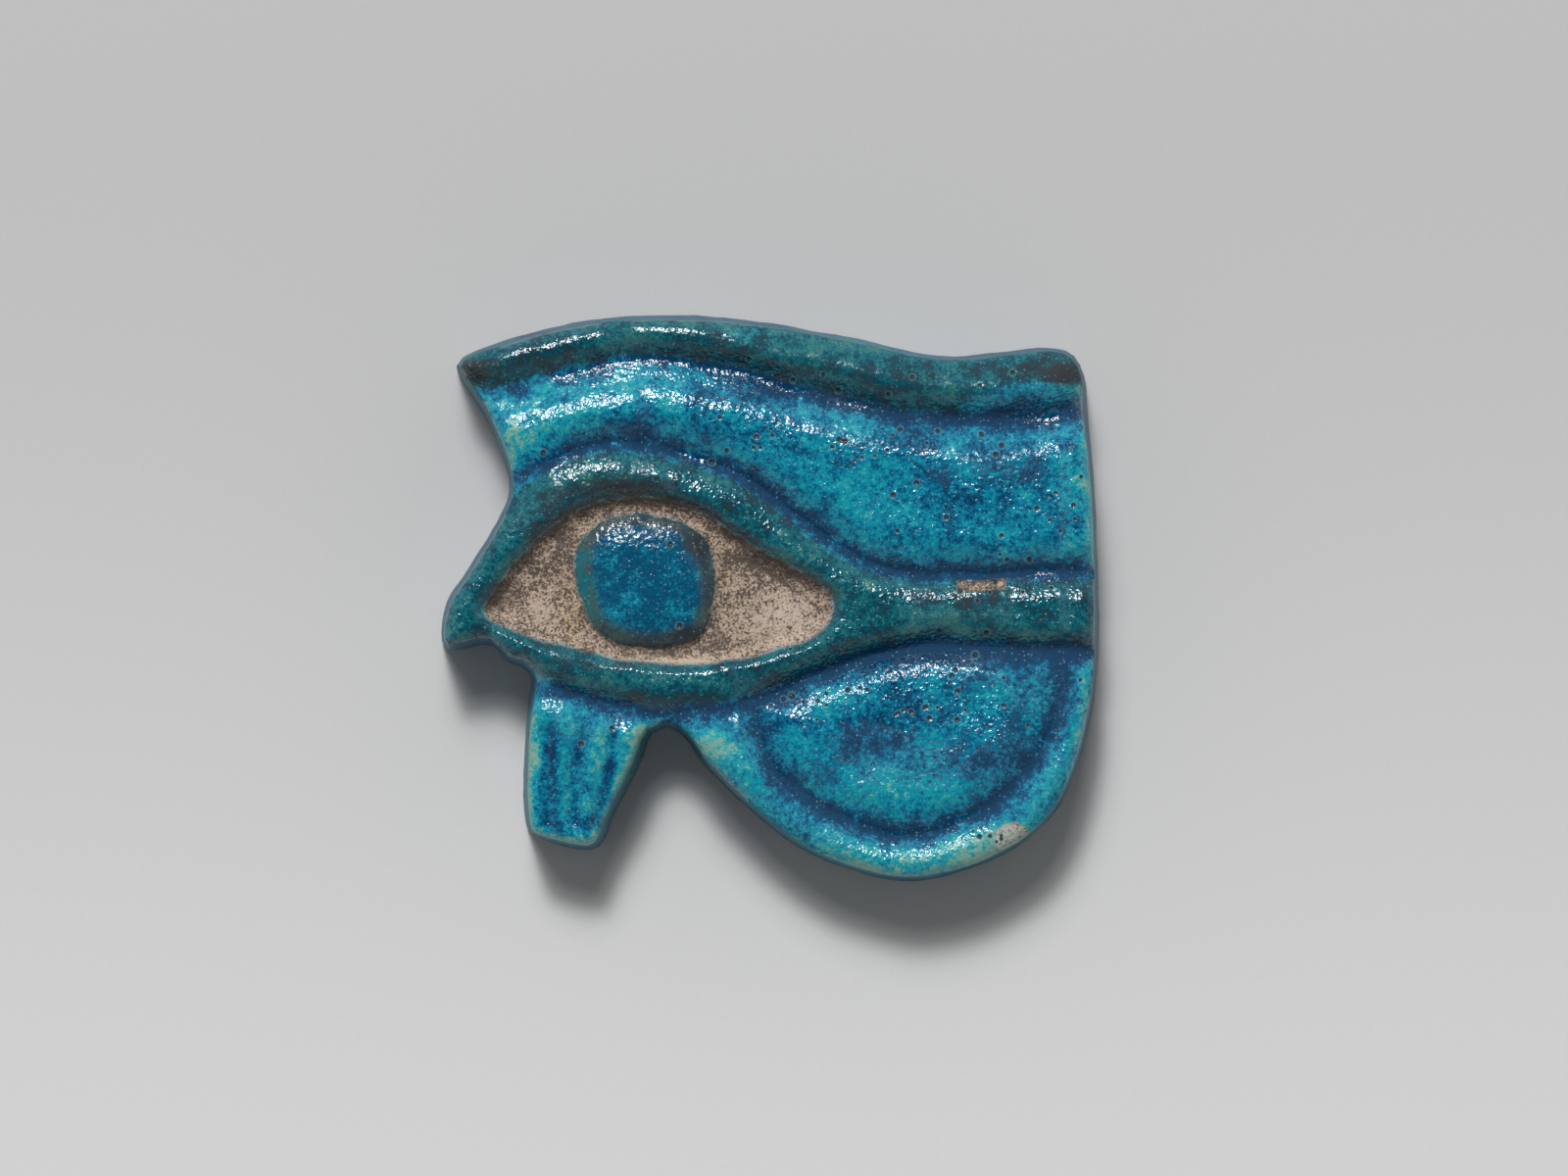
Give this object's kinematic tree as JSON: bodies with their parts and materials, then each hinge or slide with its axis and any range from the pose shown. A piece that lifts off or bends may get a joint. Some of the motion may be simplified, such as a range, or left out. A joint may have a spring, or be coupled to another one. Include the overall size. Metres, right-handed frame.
{
  "type": "wedjat eye amulet",
  "caption": "Flat-backed wedjat eye amulet: arched brow, lidded eye with a domed iris, tail, fluted drop and rounded tear in low relief.",
  "frame": {"origin": "middle of the outline's bounding box, on the flat back", "axes": "+Z out of the carved face, +Y towards the brow, +X from the eye's inner corner to its tail"},
  "size_m": [0.05, 0.043, 0.0085],
  "materials": {
    "faience_glaze": "glossy"
  },
  "bodies": {
    "root": {"wedjat_amulet": "faience_glaze"}
  },
  "joints": []
}
